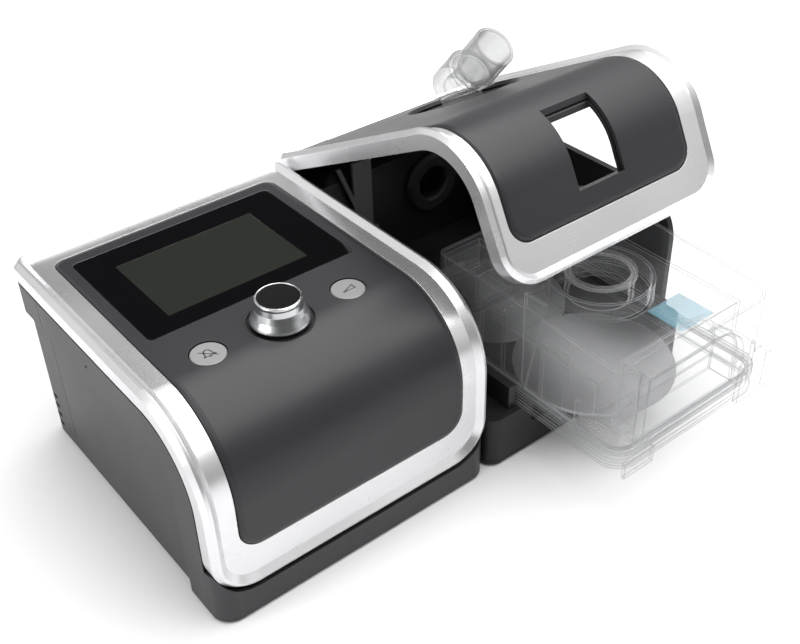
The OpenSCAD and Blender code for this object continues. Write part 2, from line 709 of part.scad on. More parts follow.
heater_low = deck_z - 11;
module heater_block() color("peru") placed() translate([bay_mid, heater_y, 0]) {
    translate([0, 0, heater_low]) cylinder(r = 34, h = 8);
    for (a = [45:90:315]) translate([28 * cos(a), 28 * sin(a), base_z + wall])
        cylinder(r = 3, h = heater_low - base_z - wall);
}

rail_w = 5;
tank_x0 = bay_mid - tank_w / 2;
tank_x1 = bay_mid + tank_w / 2;
flange_z = deck_z + 1;                    // underside of the chamber's flange
flange_h = 12;
module slide_rails() color("black") placed() for (x = [tank_x0 - 0.8 - rail_w, tank_x1 + 0.8]) {
    translate([x, 4, deck_z]) cube([rail_w, bay_rear - 8, flange_h + 3]);
}

// plenum behind the bay, with a channel along the left wall from the coupling
duct_top = tank_top - 0.5;
channel_h = 2 * couple_r + 6;
module air_duct() color("black") placed() difference() {
    union() {
        translate([bay_x0 + gap, bay_rear + gap, deck_z + gap])
            cube([bay_x1 - bay_x0 - 2 * gap, hum_d - wall - 2 - bay_rear - 2 * gap, duct_top - deck_z - gap]);
        translate([bay_x0 + gap, couple_y - channel_h / 2, couple_z - channel_h / 2])
            cube([11, bay_rear + 1 - couple_y + channel_h / 2, channel_h]);
    }
    translate([duct_x, bay_rear - 1, duct_z]) rotate([-90, 0, 0]) cylinder(r = seal_bore_d / 2, h = 12);
    translate([bay_x0 + 2, bay_rear + 5, duct_z - 12]) cube([duct_x - bay_x0, 10, 24]);
    translate([bay_x0 + 2, couple_y - channel_h / 2 + 1.6, couple_z - channel_h / 2 + 1.6])
        cube([7.6, bay_rear + 6 - couple_y + channel_h / 2, channel_h - 3.2]);
    translate([bay_x0 - 1, couple_y, couple_z]) rotate([0, 90, 0]) cylinder(r = couple_r + gap, h = 5);
}

module seal_ring() color("dimgray") placed() translate([duct_x, bay_rear - 4, duct_z]) rotate([-90, 0, 0])
    rotate_extrude() translate([seal_bore_d / 2, 0])
        polygon([[0, 1.5], [1.5, 0.3], [(seal_d - seal_bore_d) / 2 - 2, 0], [(seal_d - seal_bore_d) / 2, 2],
            [(seal_d - seal_bore_d) / 2, 4], [0, 4]]);

// pale post behind the chamber with a thin slanted blade beside it
bracket_x = bay_x0 + 31.2;
bracket_top = lid_h - 8.3;
module bay_bracket() color("lightgray") placed() {
    translate([bracket_x, bay_rear - 4, deck_z + gap]) cube([14, 2, bracket_top - deck_z - gap]);
    translate([bracket_x - 8, bay_rear - 4, deck_z + gap]) cube([26, 3.8, 28]);
    translate([0, bay_rear - 2.5, 0]) rotate([90, 0, 0]) linear_extrude(1.5)
        polygon([[bracket_x - 12, bracket_top], [bracket_x - 9, bracket_top],
            [bracket_x + 3, bracket_top - 31], [bracket_x, bracket_top - 31]]);
}

module hinge_pins() color("silver") placed() for (x = hinge_xs)
    translate([x - 9, hinge_y, hinge_z]) rotate([0, 90, 0]) cylinder(r = hinge_pin_r, h = 18);

// ---------------------------------------------------------------------------
// Lid: drawn closed, turned open about the hinge
lid_side_l = 9.5;
lid_side_r = 17.5;
lid_rear_w = 6.5;
lid_front_w = 20.5;
lid_panel_top = 1.6;
lid_panel_bottom = 4;
lid_opening_x0 = hum_x + 58;
lid_opening_w = 33;
lid_opening_z0 = lid_low + 33.5;
lid_opening_a = 50;                       // where the opening ends on the bend
swivel_x = 281;
swivel_y = 145;
swivel_z = lid_h + 3.4;                   // where the arm's axis meets the swivel axis
dish_x = swivel_x - 8.5;                 // middle of the round hollow round the swivel
dish_y = swivel_y - 13;
dish_r = 35;
dish_floor = lid_h - 10;
scoop_r = 17;                             // valley that the arm lies in, running out forwards
scoop_rise = 10;
socket_r = 12.4;
seat_z = lid_h - 1;                       // flat underside of the arm, just above the panel

// outline of the panel: wider margin on the right than on the left
lid_rim_w = 5;
function lid_rim(depth, fall) = [
    [0, depth], [0, 2.8], [2, 0.5], [2.9, 0],
    [lid_rim_w, fall], [lid_rim_w, fall + wall], [wall, fall + wall], [wall, depth]
];
module lid_hinge_clear() for (x = hinge_xs)
    translate([x - 9.6, hinge_y - 8, hinge_z - 12]) cube([19.2, 20, 12 + knuckle_r + gap]);

lid_panel_skin = [hum_x + lid_side_l + gap, total_w - lid_side_r - gap, lid_front,
    lid_rear - lid_rear_w - gap, lid_h, lid_low + lid_front_w + gap, lid_bend_r, 6, 12];

module lid_panel_prism() bent_opening(lid_panel_skin, -gap, -gap, -gap, 6, 12);

module lid_trim() color(silver) opened() difference() {
    union() {
        bent_edge(lid_skin, lid_rim(trim_depth, 2.4));
        bent_plate(lid_skin, 2.4, 2.4 + wall, lid_rim_w - eps, lid_rim_w - eps, lid_rim_w - eps,
            lid_rear_r - lid_rim_w, lid_low_r - lid_rim_w);
    }
    lid_panel_prism();
    lid_hinge_clear();
}

// opening through which the water level is seen
module lid_window_cut() translate([lid_opening_x0, -20, lid_opening_z0])
    cube([lid_opening_w, 20 + lid_front + lid_bend_r * (1 - cos(lid_opening_a)), far]);

// round hollow with a valley that runs out forwards under the arm
module dish_cut(extra) {
    translate([dish_x, dish_y, 0]) rotate_extrude()
        polygon([[0, dish_floor - extra], [dish_r - 4 + extra, dish_floor - extra],
            [dish_r + extra, lid_h - lid_panel_top], [dish_r + extra, lid_h + 30], [0, lid_h + 30]]);
    translate([swivel_x, swivel_y, dish_floor + scoop_r]) rotate([0, 0, elbow_turn])
        rotate([90 - scoop_rise, 0, 0]) cylinder(r = scoop_r + extra, h = 70);
}

module lid_panel() color("darkslategray") opened() difference() {
    union() {
        bent_edge(lid_panel_skin, border_section(lid_panel_top, lid_panel_bottom));
        bent_plate(lid_panel_skin, lid_panel_top, lid_panel_bottom, border_w - eps, border_w - eps,
            border_w - eps, 6 - border_w, 12 - border_w);
    }
    lid_window_cut();
    dish_cut(0.4);
}

// inner cover with the dish and the swivel socket
liner_top = 2.4 + wall + gap;
liner_z = lid_h - liner_top - 2;          // underside of the liner's flat
port_x = bay_mid + 4.5;
port_back = 76.5;                        // port's axis behind the chamber's front
port_y = tank_set + port_back;           // where it stands with the chamber pushed home
module lid_liner() color("gray") opened() difference() {
    union() {
        difference() {
            bent_plate(lid_skin, liner_top, liner_top + 2, wall + gap, wall + gap + 2, wall + gap,
                lid_rear_r - wall, lid_low_r - wall - gap);
            lid_window_cut();
        }
        // shell of the dish, up to the panel's underside
        intersection() {
            dish_cut(2);
            translate([hum_x, lid_front + lid_bend_r, 0]) cube([hum_w, hum_d, lid_h - liner_top]);
        }
        // hinge knuckles
        for (x = hinge_xs, k = [-1, 1]) {
            translate([x + k * (knuckle_w / 2 + gap + 2) - 2, hinge_y, hinge_z]) rotate([0, 90, 0])
                cylinder(r = knuckle_r, h = 4);
            translate([x + k * (knuckle_w / 2 + gap + 2) - 2, hinge_y - 12, liner_z]) cube([4, 12, 2.8]);
        }
    }
    dish_cut(0);
    translate([swivel_x, swivel_y, dish_floor - 10]) cylinder(r = socket_r + fit, h = 20);
    for (x = hinge_xs) {
        translate([x - 10, hinge_y, hinge_z]) rotate([0, 90, 0])
            cylinder(r = hinge_pin_r + fit, h = 20);
        translate([x - knuckle_w / 2 - gap, hinge_y, hinge_z]) rotate([0, 90, 0])
            cylinder(r = knuckle_r + gap, h = knuckle_w + 2 * gap);
    }
}

// channel under the liner from the chamber's port to the swivel
duct_floor = tank_top + 0.6;
duct_wall = 1.6;
duct_dx = swivel_x - port_x;
duct_dy = swivel_y - port_y;
duct_l = sqrt(duct_dx * duct_dx + duct_dy * duct_dy);
module duct_outline(inset) {
    translate([port_x, port_y]) circle(21 - inset);
    translate([swivel_x, swivel_y]) circle(23 - inset);
    translate([port_x, port_y]) rotate(atan2(duct_dy, duct_dx)) translate([0, inset - 19])
        square([duct_l, 2 * (19 - inset)]);
}
module lid_duct() color("gray") opened() difference() {
    translate([0, 0, duct_floor]) linear_extrude(liner_z - gap - duct_floor) duct_outline(0);
    translate([0, 0, duct_floor + duct_wall]) linear_extrude(far) duct_outline(duct_wall);
    translate([port_x, port_y, duct_floor - 1]) cylinder(r = port_d / 2 - 4, h = 5);
    dish_cut(2 + gap);
    translate([swivel_x, swivel_y, duct_floor + duct_wall]) cylinder(r = socket_r + 0.5, h = 20);
}

port_top = plate_z + 16;                 // top of the ring round the chamber's port
module lid_seal() color("dimgray") opened() translate([port_x, port_y, port_top + gap])
    tube(port_d / 2, port_d / 2 - 4, duct_floor - port_top - gap);

// ---------------------------------------------------------------------------
// Swivelling outlet elbow
tube_r = hose_bore_d / 2 + elbow_wall;
collar_r = tube_r + 3;
throat_r = 9;
hose_depth = 24;
module elbow_axis() translate([swivel_x, swivel_y, swivel_z]) rotate([0, 0, elbow_turn])
    rotate([90 - elbow_rise, 0, 0]) children();
module outlet_elbow() color(clear) opened() difference() {
    union() {
        intersection() {
            union() {
                elbow_axis() cylinder(r = tube_r, h = elbow_l);
                elbow_axis() translate([0, 0, -3]) cylinder(r1 = collar_r + 0.4, r2 = collar_r, h = 19);
            }
            translate([swivel_x - 60, swivel_y - 90, seat_z]) cube([120, 120, 80]);
        }
        // tapered neck down through the dish
        translate([swivel_x, swivel_y, dish_floor + 1])
            cylinder(r1 = socket_r, r2 = tube_r, h = seat_z - dish_floor - 0.5);
        translate([swivel_x, swivel_y, dish_floor - 2]) cylinder(r = socket_r, h = 3 + eps);
    }
    elbow_axis() translate([0, 0, elbow_l - hose_depth]) cylinder(r = hose_bore_d / 2, h = hose_depth + 1);
    elbow_axis() cylinder(r = throat_r - 0.2, h = elbow_l);
    translate([swivel_x, swivel_y, swivel_z]) sphere(r = throat_r + 0.3);
    translate([swivel_x, swivel_y, dish_floor - 10])
        cylinder(r = throat_r, h = swivel_z - dish_floor + 10);
}

module elbow_ring() color("gray") opened() translate([swivel_x, swivel_y, dish_floor + 0.2])
    tube(socket_r + 2.2, socket_r + fit, 0.8);

// ---------------------------------------------------------------------------
// Water chamber
tub_top = flange_z + flange_h;            // joint between tub and cover
module chamber_tub() color(clear) placed() difference() {
    union() {
        translate([0, 0, flange_z]) linear_extrude(flange_h - 1)
            round_rect(tank_x0 + 2, tank_x1 - 2, tank_front + 2, tank_rear - 2, 12, 5);
        translate([0, 0, flange_z]) linear_extrude(2.2)
            round_rect(tank_x0, tank_x1, tank_front, tank_rear, 14, 6);
        translate([0, 0, tub_top - 3.2]) linear_extrude(2.2)
            round_rect(tank_x0, tank_x1, tank_front, tank_rear, 14, 6);
        // grip tab that hangs in front of the sill
        translate([tab_x0, tank_front + 3, tab_low]) cube([tab_w - 4, 2, flange_z + 1 - tab_low]);
    }
    translate([0, 0, flange_z + 2]) linear_extrude(flange_h)
        round_rect(tank_x0 + 4, tank_x1 - 4, tank_front + 4, tank_rear - 4, 10, 4);
    translate([bay_mid, (tank_front + tank_rear) / 2, flange_z - 1]) cylinder(r = heater_r + 1, h = 10);
}

module chamber_heat_plate() color("silver") placed()
    translate([bay_mid, (tank_front + tank_rear) / 2, flange_z - 0.3]) cylinder(r = heater_r + 0.99, h = 2);

module chamber_gasket() color("white") placed() translate([0, 0, tub_top - 1]) linear_extrude(1)
    difference() {
        round_rect(tank_x0 + 2, tank_x1 - 2, tank_front + 2, tank_rear - 2, 12, 5);
        round_rect(tank_x0 + 4, tank_x1 - 4, tank_front + 4, tank_rear - 4, 10, 4);
    }

port_y_now = tank_front + port_back;
port_neck = 14;
well_r = port_d / 2 + 11;
rim_drop = 4;
shelf_y = tank_front + 20;                // where the top plate steps down to the front shelf
shelf_z = plate_z - 20;

// front view of the handle: square on the left, one large curve on the right
handle_x = bay_mid - 46.5;
handle_z = tub_top + 4;
handle_w = 50;
handle_h = tank_top - rim_drop - 1 - handle_z;
handle_r = 26;
handle_deep = 15;
blade_top = bracket_top - 1;
module handle_outline(inset) intersection() {
    translate([inset, inset]) square([handle_w + handle_r + 2, handle_h + 2]);
    union() {
        translate([-2, -2]) square([handle_w + 2, handle_h + 2 - inset]);
        translate([-2, -2]) square([handle_w + handle_r + 2 - inset, handle_h - handle_r + 2]);
        translate([handle_w, handle_h - handle_r]) circle(handle_r - inset);
    }
}

module chamber_cover() color(clear) placed() difference() {
    union() {
        difference() {
            intersection() {
                translate([0, 0, tub_top]) linear_extrude(tank_top - tub_top)
                    round_rect(tank_x0 + 1, tank_x1 - 1, tank_front + 1, tank_rear - 1, 13, 5);
                // rim falls towards the front
                rotate([90, 0, 90]) linear_extrude(far)
                    polygon([[tank_front - 10, 0], [tank_rear + 10, 0], [tank_rear + 10, tank_top],
                        [tank_rear - 60, tank_top], [tank_front, tank_top - rim_drop],
                        [tank_front - 10, tank_top - rim_drop]]);
            }
            translate([0, 0, tub_top - 1]) linear_extrude(far)
                round_rect(tank_x0 + 1 + clear_wall, tank_x1 - 1 - clear_wall, tank_front + 1 + clear_wall,
                    tank_rear - 1 - clear_wall, 13 - clear_wall, 5 - clear_wall);
        }
        translate([0, 0, tub_top]) linear_extrude(2.2) difference() {
            round_rect(tank_x0, tank_x1, tank_front, tank_rear, 14, 6);
            round_rect(tank_x0 + 3, tank_x1 - 3, tank_front + 3, tank_rear - 3, 11, 4);
        }
        // top plate over the water
        difference() {
            translate([0, 0, plate_z]) linear_extrude(clear_wall)
                round_rect(tank_x0 + 2, tank_x1 - 2, shelf_y + 1, tank_rear - 2, 0.5, 4);
            translate([port_x, port_y_now, plate_z - 1]) cylinder(r = port_d / 2 - 2, h = 5);
        }
        // step down to the shelf behind the front wall
        translate([tank_x0 + 2, shelf_y, shelf_z])
            cube([tank_w - 4, clear_wall, plate_z - shelf_z + clear_wall]);
        translate([tank_x0 + 2, tank_front + 2, shelf_z]) cube([tank_w - 4, 19, clear_wall]);
        // outlet port neck and the well round it
        translate([port_x, port_y_now, plate_z]) tube(port_d / 2, port_d / 2 - 2, port_neck);
        translate([port_x, port_y_now, plate_z]) tube(well_r, well_r - 2, port_neck - 1);
        // inlet spigot at the rear
        translate([duct_x, tank_rear - 3, duct_z]) rotate([-90, 0, 0])
            tube(seal_bore_d / 2 + 3, seal_bore_d / 2, 3 + tank_back - 4 - gap);
        // roofed block in the rear left corner
        difference() {
            translate([tank_x0 + 2, tank_rear - 33.4, plate_z]) cube([26, 27.4, tank_top - plate_z]);
            translate([tank_x0, tank_rear - 31.4, plate_z - 1]) cube([26, 23.4, tank_top - plate_z - 1]);
        }
        // tapered blade and clip post on the left flange
        translate([tank_x0, tank_front + 70, 0]) rotate([90, 0, 90]) linear_extrude(2)
            polygon([[-1, tub_top], [1, tub_top], [2, blade_top], [-12.6, blade_top]]);
        translate([tank_x0, tank_front + 28, tub_top]) cube([2, 4, 18.5]);
    }
    translate([duct_x, tank_rear - 20, duct_z]) rotate([-90, 0, 0]) cylinder(r = seal_bore_d / 2, h = 40);
    // the handle stands in the front
    translate([handle_x, tank_front + handle_deep + gap, handle_z]) rotate([90, 0, 0])
        linear_extrude(handle_deep + gap + 1) {
            handle_outline(-gap);
            translate([-gap, 0]) square([handle_w + 2 * gap, far]);
        }
}

module chamber_port_ring() color("white") placed()
    translate([port_x, port_y_now, plate_z + port_neck + 0.02]) tube(port_d / 2 + 1, port_d / 2 - 2.6, 2);

module chamber_baffle() color(clear) placed()
    for (y = [tank_front + tank_l / 3, tank_front + 2 * tank_l / 3])
        translate([tank_x0 + 8, y, flange_z + 2.2]) cube([3, 18, plate_z - flange_z - 2.2 - gap]);

module chamber_handle() color(clear) placed()
    translate([handle_x, tank_front + handle_deep, handle_z]) rotate([90, 0, 0]) difference() {
        linear_extrude(handle_deep + handle_reach) handle_outline(0);
        translate([0, 0, -1]) linear_extrude(handle_deep + handle_reach - 1) handle_outline(2);
    }

module chamber_latch() color(clear) placed()
    translate([tank_x1 - 24.5, tank_front - 3, flange_z]) cube([24, 2.8, 24.5]);

module chamber_patch() color("steelblue") placed()
    translate([port_x + 5, shelf_y + 2, plate_z + clear_wall + 0.05]) cube([26, 24, 0.3]);

// ---------------------------------------------------------------------------
base_tray();
left_side_cover();
right_side_cover();
rear_cover();
top_chassis();
main_trim();
control_panel();
display_window();
lcd_module();
main_board();
knob_skirt();
knob_cap();
encoder_spindle();
encoder_plunger();
encoder_body();
mute_button();
ramp_button();
button_switches();
blower_housing();
blower_cap();
impeller();
motor_stator();
inlet_filter();
filter_cover();
dc_socket();
card_reader();
air_coupling();
unit_feet();
unit_screws();
humidifier_base();
humidifier_bottom();
heater_plate();
heater_block();
slide_rails();
air_duct();
seal_ring();
bay_bracket();
hinge_pins();
humidifier_feet();
humidifier_screws();
lid_trim();
lid_panel();
lid_liner();
lid_duct();
lid_seal();
outlet_elbow();
elbow_ring();
chamber_tub();
chamber_heat_plate();
chamber_gasket();
chamber_cover();
chamber_port_ring();
chamber_baffle();
chamber_handle();
chamber_latch();
chamber_patch();
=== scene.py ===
"""A bedside breathing machine with its humidifier open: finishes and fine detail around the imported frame."""
import math

import bmesh
import bpy
from mathutils import Matrix, Quaternion, Vector


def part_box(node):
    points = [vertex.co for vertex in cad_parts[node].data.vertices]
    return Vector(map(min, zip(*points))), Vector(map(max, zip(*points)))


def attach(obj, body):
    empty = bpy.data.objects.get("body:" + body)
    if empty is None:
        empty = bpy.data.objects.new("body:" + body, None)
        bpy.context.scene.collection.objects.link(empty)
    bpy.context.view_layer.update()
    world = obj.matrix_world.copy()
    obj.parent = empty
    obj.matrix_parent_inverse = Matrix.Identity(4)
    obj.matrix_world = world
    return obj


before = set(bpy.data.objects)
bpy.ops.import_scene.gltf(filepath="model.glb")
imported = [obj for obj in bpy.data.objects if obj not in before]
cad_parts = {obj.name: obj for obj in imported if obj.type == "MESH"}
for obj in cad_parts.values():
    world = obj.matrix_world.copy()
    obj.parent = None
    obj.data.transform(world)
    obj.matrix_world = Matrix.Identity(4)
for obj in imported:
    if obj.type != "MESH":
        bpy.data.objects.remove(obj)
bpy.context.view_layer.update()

MM = 0.001
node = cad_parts

# --- Camera ---------------------------------------------------------------------------------------
# The photograph was taken from the front left, looking down on the machine from about 0.7 m away.
# The eye's place and the angles come from the straight edges of the main unit.
EYE_OFFSET = (-0.1444, -0.3318, 0.4435)   # from the main unit's front left corner on the table
VIEW_AZIMUTH = 37.65          # degrees from +Y towards +X
VIEW_DROP = 36.65             # degrees below the horizon
VIEW_ROLL = -1.6              # degrees about the line of sight
LENS = 51.12                  # millimetres
SENSOR_WIDTH = 36             # millimetres

azimuth = math.radians(VIEW_AZIMUTH)
drop = math.radians(VIEW_DROP)
roll = Quaternion((0, 0, 1), math.radians(VIEW_ROLL))
sight = Vector((math.sin(azimuth) * math.cos(drop), math.cos(azimuth) * math.cos(drop), -math.sin(drop)))
camera = bpy.data.objects.new("camera", bpy.data.cameras.new("camera"))
camera.data.lens = LENS
camera.data.sensor_width = SENSOR_WIDTH
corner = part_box("main_trim")[0]
camera.location = (corner[0] + EYE_OFFSET[0], corner[1] + EYE_OFFSET[1], EYE_OFFSET[2])
camera.rotation_mode = "QUATERNION"
camera.rotation_quaternion = sight.to_track_quat("-Z", "Y") @ roll
bpy.context.scene.collection.objects.link(camera)
bpy.context.scene.camera = camera

# --- Table and studio light -----------------------------------------------------------------------
# A pale table top under a wide soft lamp above and to the right, with a weaker lamp at the left.
# The surround is pale, with a dark zone where the flat glass looks and a dim one low in front,
# which the bends pick up.
TABLE_COLOUR = (0.74, 0.74, 0.745, 1)
TABLE_ROUGHNESS = 0.5
FLOOR_SIDE = 8.0
FLOOR_DROP = 0.2 * MM         # the table lies a hair under the feet
LAMPS = {                     # place, what it points at, width, depth, watts
    "lamp_overhead": ((0.55, -0.2, 1.45), (0.55, -0.2, 0.0), 1.6, 2.5, 42.0),
    "lamp_left": ((-1.5, 0.1, 0.8), (0, 0, 0.05), 1.1, 1.1, 14.0),
}
SURROUND_PALE = 0.8
HORIZON_BEGINS = 0.02         # the sine of the height where the dim horizon begins to lift
HORIZON_ENDS = 0.24           # and where it is gone
HORIZON_LIGHT = 0.35          # the horizon's share of the pale light
DARK_ZONES = (                # middle, cosines where the zone begins and is full, light that remains
    ((0.25, 0.78, 0.57), 0.87, 0.975, 0.03),
    ((-0.3, -0.95, 0.0), 0.5, 0.92, 0.15),
)
CLEAR_BOUNCES = 24            # the chamber has many clear walls behind each other
SEE_THROUGH_BOUNCES = 32


def new_material(name):
    """A material and the Principled shader in it."""
    made = bpy.data.materials.new(name)
    made.use_nodes = True
    return made, made.node_tree.nodes["Principled BSDF"]


def link_mesh(name, bm, material):
    """Turns a bmesh of flat faces into a named object in the scene."""
    mesh = bpy.data.meshes.new(name)
    bm.to_mesh(mesh)
    bm.free()
    mesh.materials.append(material)
    made = bpy.data.objects.new(name, mesh)
    bpy.context.scene.collection.objects.link(made)
    return made


def feed(tree, socket, value):
    """Links a socket to another node's output, or sets it to a fixed value."""
    if isinstance(value, bpy.types.NodeSocket):
        tree.links.new(value, socket)
    else:
        socket.default_value = value


def worked_out(tree, operation, *values):
    """The result of a Math node over outputs and numbers."""
    made = tree.nodes.new("ShaderNodeMath")
    made.operation = operation
    for socket, value in zip(made.inputs, values):
        feed(tree, socket, value)
    return made.outputs["Value"]


def likeness(tree, one, other):
    """The cosine between two directions."""
    made = tree.nodes.new("ShaderNodeVectorMath")
    made.operation = "DOT_PRODUCT"
    feed(tree, made.inputs[0], one)
    feed(tree, made.inputs[1], other)
    return made.outputs["Value"]


def ramp(tree, value, begins, ends, low=0.0, high=1.0, curve="LINEAR"):
    """A value brought from the range begins to ends into the range low to high."""
    made = tree.nodes.new("ShaderNodeMapRange")
    made.interpolation_type = curve
    made.inputs["From Min"].default_value = begins
    made.inputs["From Max"].default_value = ends
    made.inputs["To Min"].default_value = low
    made.inputs["To Max"].default_value = high
    tree.links.new(value, made.inputs["Value"])
    return made.outputs["Result"]


table_top, shader = new_material("table_top")
shader.inputs["Base Color"].default_value = TABLE_COLOUR
shader.inputs["Roughness"].default_value = TABLE_ROUGHNESS
bm = bmesh.new()
bmesh.ops.create_grid(bm, x_segments=2, y_segments=2, size=FLOOR_SIDE / 2,
                      matrix=Matrix.Translation((0, 0, -FLOOR_DROP)))
link_mesh("floor", bm, table_top)

for name, (place, target, width, depth, power) in LAMPS.items():
    lamp = bpy.data.objects.new(name, bpy.data.lights.new(name, "AREA"))
    lamp.data.shape = "RECTANGLE"
    lamp.data.size = width
    lamp.data.size_y = depth
    lamp.data.energy = power
    lamp.location = place
    lamp.rotation_mode = "QUATERNION"
    lamp.rotation_quaternion = (Vector(target) - Vector(place)).to_track_quat("-Z", "Y")
    bpy.context.scene.collection.objects.link(lamp)

surround = bpy.data.worlds.new("surround")
surround.use_nodes = True
sky = surround.node_tree
outlook = sky.nodes.new("ShaderNodeTexCoord").outputs["Generated"]
height = sky.nodes.new("ShaderNodeSeparateXYZ")
sky.links.new(outlook, height.inputs["Vector"])
light = ramp(sky, height.outputs["Z"], HORIZON_BEGINS, HORIZON_ENDS,
             SURROUND_PALE * HORIZON_LIGHT, SURROUND_PALE, "SMOOTHSTEP")
for middle, begins, full, remains in DARK_ZONES:
    toward = likeness(sky, outlook, Vector(middle).normalized())
    light = worked_out(sky, "MULTIPLY", light, ramp(sky, toward, begins, full, 1.0, remains, "SMOOTHERSTEP"))
sky.links.new(light, sky.nodes["Background"].inputs["Color"])
bpy.context.scene.world = surround
bpy.context.scene.view_settings.view_transform = "Standard"
bpy.context.scene.cycles.max_bounces = CLEAR_BOUNCES
bpy.context.scene.cycles.transmission_bounces = CLEAR_BOUNCES
bpy.context.scene.cycles.transparent_max_bounces = SEE_THROUGH_BOUNCES

# --- Casing of the main unit ----------------------------------------------------------------------
# Base tray, side covers, rear cover and filter cover are injection-moulded in charcoal plastic with
# a fine spark-eroded grain. The shells meet in narrow seams, and handling has polished their edges.
EDGE_SAMPLES = 4
EDGE_RADIUS = 0.7 * MM        # how wide the polish of an edge is
EDGE_BEGINS = 0.995           # an edge is where the rounded normal leaves the true one: cosine between them
EDGE_FULL = 0.9
ROUND_EDGE = 0.5 * MM         # the small radius that the mould leaves on each edge
CLOUD_SCALE = 14.0            # clouds a few centimetres wide
CLOUD_DETAIL = 4.0
CLOUD_RANGE = (0.3, 0.7)
GRAIN_DETAIL = 2.0
GRAIN_DEPTH = 0.05 * MM
DUST_SLOPE = 0.2              # dust lies on faces whose normal rises more than this
DUST_COLOUR = (0.55, 0.54, 0.52, 1)
# painted shade: seams, steps and recesses are darkened towards black by how little of the surroundings they
# see
PAINTED_SHADE_REACH = 4 * MM
PAINTED_SHADE_SAMPLES = 6
PAINTED_SHADE_BEGINS = 0.95            # the open share of the surroundings where the painted seam shade begins
PAINTED_SHADE_FULL = 0.45
PAINTED_SHADE_COLOUR = (0.0, 0.0, 0.0, 1)


def blended(tree, share, under, over):
    """One colour laid over another by its share."""
    made = tree.nodes.new("ShaderNodeMix")
    made.data_type = "RGBA"
    feed(tree, made.inputs["Factor"], share)
    feed(tree, made.inputs["A"], under)
    feed(tree, made.inputs["B"], over)
    return made.outputs["Result"]


def rounded_normal(tree, radius):
    """The normal as if each edge had a radius."""
    made = tree.nodes.new("ShaderNodeBevel")
    made.samples = EDGE_SAMPLES
    feed(tree, made.inputs["Radius"], radius)
    return made.outputs["Normal"]


def edge_mask(tree, rounded):
    """1 on edges and 0 on flats: where a rounded normal leaves the true one."""
    geometry = tree.nodes.new("ShaderNodeNewGeometry")
    return ramp(tree, likeness(tree, rounded, geometry.outputs["Normal"]), EDGE_BEGINS, EDGE_FULL)


def surface_group():
    """Node group: colour, roughness and height of a moulded or painted surface, from named inputs."""
    group = bpy.data.node_groups.new("moulded_surface", "ShaderNodeTree")
    inputs = (
        ("Colour", "NodeSocketColor", (0.5, 0.5, 0.5, 1)),
        ("Edge Colour", "NodeSocketColor", (0.6, 0.6, 0.6, 1)),
        ("Cloudiness", "NodeSocketFloat", 0.1),
        ("Grain Scale", "NodeSocketFloat", 2500.0),
        ("Roughness", "NodeSocketFloat", 0.4),
        ("Roughness Spread", "NodeSocketFloat", 0.06),
        ("Edge Wear", "NodeSocketFloat", 0.3),
        ("Dust", "NodeSocketFloat", 0.0),
        # strength of the painted shade in seams and steps
        ("Seam Shade", "NodeSocketFloat", 0.0),
    )
    outputs = (
        ("Colour", "NodeSocketColor"),
        ("Roughness", "NodeSocketFloat"),
        ("Height", "NodeSocketFloat"),
    )
    for name, kind, value in inputs:
        made = group.interface.new_socket(name, in_out="INPUT", socket_type=kind)
        made.default_value = value
    for name, kind in outputs:
        group.interface.new_socket(name, in_out="OUTPUT", socket_type=kind)
    given = group.nodes.new("NodeGroupInput").outputs
    result = group.nodes.new("NodeGroupOutput").inputs
    place = group.nodes.new("ShaderNodeTexCoord").outputs["Object"]

    # clouds: colour and roughness lift and fall slowly over the piece
    cloud = group.nodes.new("ShaderNodeTexNoise")
    cloud.inputs["Scale"].default_value = CLOUD_SCALE
    cloud.inputs["Detail"].default_value = CLOUD_DETAIL
    group.links.new(place, cloud.inputs["Vector"])
    spread = ramp(group, cloud.outputs["Fac"], *CLOUD_RANGE, -1.0, 1.0)
    clouded = group.nodes.new("ShaderNodeVectorMath")
    clouded.operation = "SCALE"
    strength = worked_out(group, "MULTIPLY_ADD", spread, given["Cloudiness"], 1.0)
    group.links.new(given["Colour"], clouded.inputs[0])
    group.links.new(strength, clouded.inputs["Scale"])

    # edges: worn to their own colour
    edge = edge_mask(group, rounded_normal(group, EDGE_RADIUS))
    worn = worked_out(group, "MULTIPLY", edge, given["Edge Wear"])
    colour = blended(group, worn, clouded.outputs["Vector"], given["Edge Colour"])

    # dust: settles in the grain of faces that look up
    grain = group.nodes.new("ShaderNodeTexNoise")
    grain.inputs["Detail"].default_value = GRAIN_DETAIL
    group.links.new(place, grain.inputs["Vector"])
    group.links.new(given["Grain Scale"], grain.inputs["Scale"])
    upward = group.nodes.new("ShaderNodeSeparateXYZ")
    geometry = group.nodes.new("ShaderNodeNewGeometry")
    group.links.new(geometry.outputs["Normal"], upward.inputs["Vector"])
    settled = ramp(group, upward.outputs["Z"], DUST_SLOPE, 1.0)
    patchy = worked_out(group, "MULTIPLY", settled, grain.outputs["Fac"])
    colour = blended(group, worked_out(group, "MULTIPLY", patchy, given["Dust"]), colour, DUST_COLOUR)

    # seams: painted shade, darkening the steps and joints between mouldings towards black where the
    # surroundings are hidden
    corner = group.nodes.new("ShaderNodeAmbientOcclusion")
    corner.samples = PAINTED_SHADE_SAMPLES
    corner.inputs["Distance"].default_value = PAINTED_SHADE_REACH
    painted_shade_share = ramp(group, corner.outputs["AO"], PAINTED_SHADE_BEGINS, PAINTED_SHADE_FULL)
    colour = blended(group, worked_out(group, "MULTIPLY", painted_shade_share, given["Seam Shade"]), colour, PAINTED_SHADE_COLOUR)

    gloss = worked_out(group, "MULTIPLY_ADD", spread, given["Roughness Spread"], given["Roughness"])
    group.links.new(colour, result["Colour"])
    group.links.new(gloss, result["Roughness"])
    group.links.new(grain.outputs["Fac"], result["Height"])
    return group


moulded_surface = surface_group()


